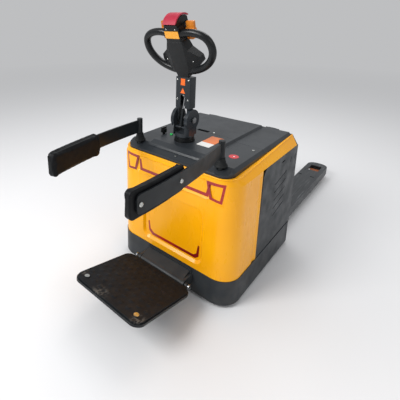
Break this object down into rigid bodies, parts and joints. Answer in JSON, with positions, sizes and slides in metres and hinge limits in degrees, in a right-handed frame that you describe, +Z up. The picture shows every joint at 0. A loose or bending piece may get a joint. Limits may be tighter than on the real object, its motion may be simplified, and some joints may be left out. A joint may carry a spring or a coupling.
{
  "type": "electric pallet truck",
  "caption": "Powered pallet truck with a steering tiller, folding operator platform, swinging padded side arms, and a lifting pair of forks carried on load rollers.",
  "frame": {"origin": "on the floor under the middle of the truck's overall width and length", "axes": "+X to the truck's right, +Y towards the fork tips, -Y towards the operator's platform, +Z up"},
  "size_m": [0.734, 2.468, 1.3991],
  "materials": {
    "yellow_cover": "yellow moulded cover, satin gloss",
    "grey_cover": "dark grey moulded cover, fine grain",
    "lid_grey": "grey moulded lid, fine grain",
    "grey_steel": "dark grey powder coat",
    "black_steel": "black powder coat",
    "fork_steel": "dark grey enamel, worn",
    "bare_steel": "machined steel",
    "chrome_rod": "hard chrome",
    "zinc_screw": "zinc plated",
    "cast_housing": "painted casting",
    "black_plastic": "black moulded plastic",
    "black_rubber": "black rubber",
    "pad_foam": "black skinned foam",
    "red_button": "red moulded plastic",
    "orange_plastic": "orange moulded plastic",
    "green_lens": "green lens",
    "red_film": "dark red film",
    "label_film": "orange film",
    "roller_tyre": "brown polyurethane",
    "drive_tyre": "black polyurethane",
    "battery_case": "moulded case"
  },
  "bodies": {
    "truck_body": {"chassis_frame": "grey_steel", "slew_ring": "bare_steel", "battery": "battery_case", "hydraulic_unit": "bare_steel", "controller": "black_plastic", "front_cover": "yellow_cover", "side_panel_left": "grey_steel", "side_panel_right": "grey_steel", "rear_panel": "grey_steel", "top_cover": "grey_cover", "cover_screws": "zinc_screw", "deck_labels": "label_film", "charge_lamp": "green_lens", "front_stripes": "red_film", "turret_ring": "black_plastic", "arm_boots": "black_rubber", "platform_bracket": "grey_steel", "platform_pin": "bare_steel", "lift_cylinder": "black_steel"},
    "lid": {"battery_lid": "lid_grey"},
    "key": {"key_knob": "black_plastic"},
    "turret": {"steer_turret": "black_steel", "tiller_pin": "bare_steel"},
    "tiller": {"tiller_column": "grey_steel", "tiller_labels": "label_film", "head_housing": "black_plastic", "loop_handle_left": "black_plastic", "loop_handle_right": "black_plastic"},
    "spring_tube": {"gas_spring_body": "black_steel"},
    "spring_rod": {"gas_spring_rod": "chrome_rod"},
    "reverse_cap": {"reverse_button": "red_button"},
    "thumb_wings": {"throttle": "orange_plastic"},
    "lift_key": {"lift_button": "black_plastic"},
    "horn_key": {"horn_button": "black_plastic"},
    "lower_key": {"lower_button": "black_plastic"},
    "arm_left": {"arm_bar_left": "black_steel", "arm_pad_left": "pad_foam"},
    "arm_right": {"arm_bar_right": "black_steel", "arm_pad_right": "pad_foam"},
    "platform": {"platform_plate": "black_steel", "platform_mat": "black_rubber", "platform_screws": "zinc_screw"},
    "drive_unit": {"drive_housing": "cast_housing", "drive_motor": "cast_housing"},
    "drive_roll": {"drive_wheel": "drive_tyre"},
    "caster_left": {"caster_fork_left": "black_steel"},
    "caster_left_roll": {"caster_wheel_left": "drive_tyre"},
    "caster_right": {"caster_fork_right": "black_steel"},
    "caster_right_roll": {"caster_wheel_right": "drive_tyre"},
    "forks": {"fork_carriage": "fork_steel", "fork_left": "fork_steel", "fork_right": "fork_steel", "lift_rod": "chrome_rod"},
    "roller_swing": {"roller_arms": "black_steel"},
    "bogies": {"roller_bogies": "black_steel"},
    "rods": {"pull_rods": "bare_steel"},
    "roller_left_inner": {"load_roller_left_inner": "roller_tyre"},
    "roller_left_outer": {"load_roller_left_outer": "roller_tyre"},
    "roller_right_inner": {"load_roller_right_inner": "roller_tyre"},
    "roller_right_outer": {"load_roller_right_outer": "roller_tyre"}
  },
  "joints": [
    {"name": "tiller_steer", "type": "hinge", "parent": "truck_body", "child": "turret", "pos_m": [-0.05, -0.484, 0.765], "axis": [0, 0, 1], "range_deg": [-90, 90]},
    {"name": "tiller_tilt", "type": "hinge", "parent": "turret", "child": "tiller", "pos_m": [-0.05, -0.484, 0.861], "axis": [1, 0, 0], "range_deg": [0, 70], "stiffness_Nm_per_rad": 30, "springref_deg": -28.65},
    {"name": "spring_swing", "type": "hinge", "parent": "turret", "child": "spring_tube", "pos_m": [-0.05, -0.52, 0.821], "axis": [1, 0, 0], "range_deg": [0, 56.71]},
    {"name": "spring_stroke", "type": "slide", "parent": "spring_tube", "child": "spring_rod", "axis": [0, 0.1871, 0.9823], "range_m": [-0.0527, 0]},
    {"name": "lid_open", "type": "hinge", "parent": "truck_body", "child": "lid", "pos_m": [0, 0.086, 0.714], "axis": [1, 0, 0], "range_deg": [-80, 0]},
    {"name": "key_turn", "type": "hinge", "parent": "truck_body", "child": "key", "pos_m": [-0.205, -0.469, 0.741], "axis": [0, 0, -1], "range_deg": [0, 90]},
    {"name": "reverse_press", "type": "slide", "parent": "tiller", "child": "reverse_cap", "axis": [0, 0.4226, -0.9063], "range_m": [0, 0.003], "stiffness_N_per_m": 900},
    {"name": "throttle_turn", "type": "hinge", "parent": "tiller", "child": "thumb_wings", "pos_m": [-0.05, -0.55814, 1.31974], "axis": [1, 0, 0], "range_deg": [-25, 25], "stiffness_Nm_per_rad": 0.6},
    {"name": "lift_press", "type": "slide", "parent": "tiller", "child": "lift_key", "axis": [0, -0.9063, -0.4226], "range_m": [0, 0.0015], "stiffness_N_per_m": 400},
    {"name": "horn_press", "type": "slide", "parent": "tiller", "child": "horn_key", "axis": [0, -0.9063, -0.4226], "range_m": [0, 0.0015], "stiffness_N_per_m": 400},
    {"name": "lower_press", "type": "slide", "parent": "tiller", "child": "lower_key", "axis": [0, -0.9063, -0.4226], "range_m": [0, 0.0015], "stiffness_N_per_m": 400},
    {"name": "arm_left_swing", "type": "hinge", "parent": "truck_body", "child": "arm_left", "pos_m": [-0.252, -0.618, 0.69], "axis": [0, 0, 1], "range_deg": [-10, 35]},
    {"name": "arm_right_swing", "type": "hinge", "parent": "truck_body", "child": "arm_right", "pos_m": [0.252, -0.618, 0.69], "axis": [0, 0, 1], "range_deg": [-45, 0]},
    {"name": "platform_fold", "type": "hinge", "parent": "truck_body", "child": "platform", "pos_m": [0.01, -0.736, 0.1], "axis": [1, 0, 0], "range_deg": [-76, 14]},
    {"name": "drive_steer", "type": "hinge", "parent": "truck_body", "child": "drive_unit", "pos_m": [0, -0.474, 0.312], "axis": [0, 0, 1], "range_deg": [-90, 90]},
    {"name": "drive_spin", "type": "hinge", "parent": "drive_unit", "child": "drive_roll", "pos_m": [0, -0.474, 0.115], "axis": [1, 0, 0], "continuous": true},
    {"name": "fork_lift", "type": "slide", "parent": "truck_body", "child": "forks", "axis": [0, 0, 1], "range_m": [0, 0.12]},
    {"name": "roller_swing", "type": "hinge", "parent": "forks", "child": "roller_swing", "pos_m": [0, 0.879, 0.062], "axis": [-1, 0, 0], "range_deg": [0, 38.81]},
    {"name": "bogie_level", "type": "hinge", "parent": "roller_swing", "child": "bogies", "pos_m": [0, 1.079, 0.04], "axis": [1, 0, 0], "range_deg": [0, 38.81]},
    {"name": "rod_pull", "type": "slide", "parent": "forks", "child": "rods", "axis": [0, -1, 0], "range_m": [0, 0.015]},
    {"name": "caster_left_swivel", "type": "hinge", "parent": "truck_body", "child": "caster_left", "pos_m": [-0.24, -0.524, 0.13], "axis": [0, 0, 1], "continuous": true},
    {"name": "caster_left_spin", "type": "hinge", "parent": "caster_left", "child": "caster_left_roll", "pos_m": [-0.24, -0.486, 0.0575], "axis": [1, 0, 0], "continuous": true},
    {"name": "roller_left_inner_spin", "type": "hinge", "parent": "bogies", "child": "roller_left_inner", "pos_m": [-0.218, 1.036, 0.04], "axis": [1, 0, 0], "continuous": true},
    {"name": "roller_left_outer_spin", "type": "hinge", "parent": "bogies", "child": "roller_left_outer", "pos_m": [-0.218, 1.122, 0.04], "axis": [1, 0, 0], "continuous": true},
    {"name": "caster_right_swivel", "type": "hinge", "parent": "truck_body", "child": "caster_right", "pos_m": [0.24, -0.524, 0.13], "axis": [0, 0, 1], "continuous": true},
    {"name": "caster_right_spin", "type": "hinge", "parent": "caster_right", "child": "caster_right_roll", "pos_m": [0.24, -0.486, 0.0575], "axis": [1, 0, 0], "continuous": true},
    {"name": "roller_right_inner_spin", "type": "hinge", "parent": "bogies", "child": "roller_right_inner", "pos_m": [0.218, 1.036, 0.04], "axis": [1, 0, 0], "continuous": true},
    {"name": "roller_right_outer_spin", "type": "hinge", "parent": "bogies", "child": "roller_right_outer", "pos_m": [0.218, 1.122, 0.04], "axis": [1, 0, 0], "continuous": true}
  ],
  "couplings": [
    {"joint": "spring_swing", "follows": "tiller_tilt", "ratio": 0.79585},
    {"joint": "spring_stroke", "follows": "tiller_tilt", "m_per_rad": -0.04228},
    {"joint": "drive_steer", "follows": "tiller_steer", "ratio": 1},
    {"joint": "roller_swing", "follows": "fork_lift", "rad_per_m": 5.6159},
    {"joint": "bogie_level", "follows": "fork_lift", "rad_per_m": 5.6159},
    {"joint": "rod_pull", "follows": "fork_lift", "ratio": 0.121}
  ]
}
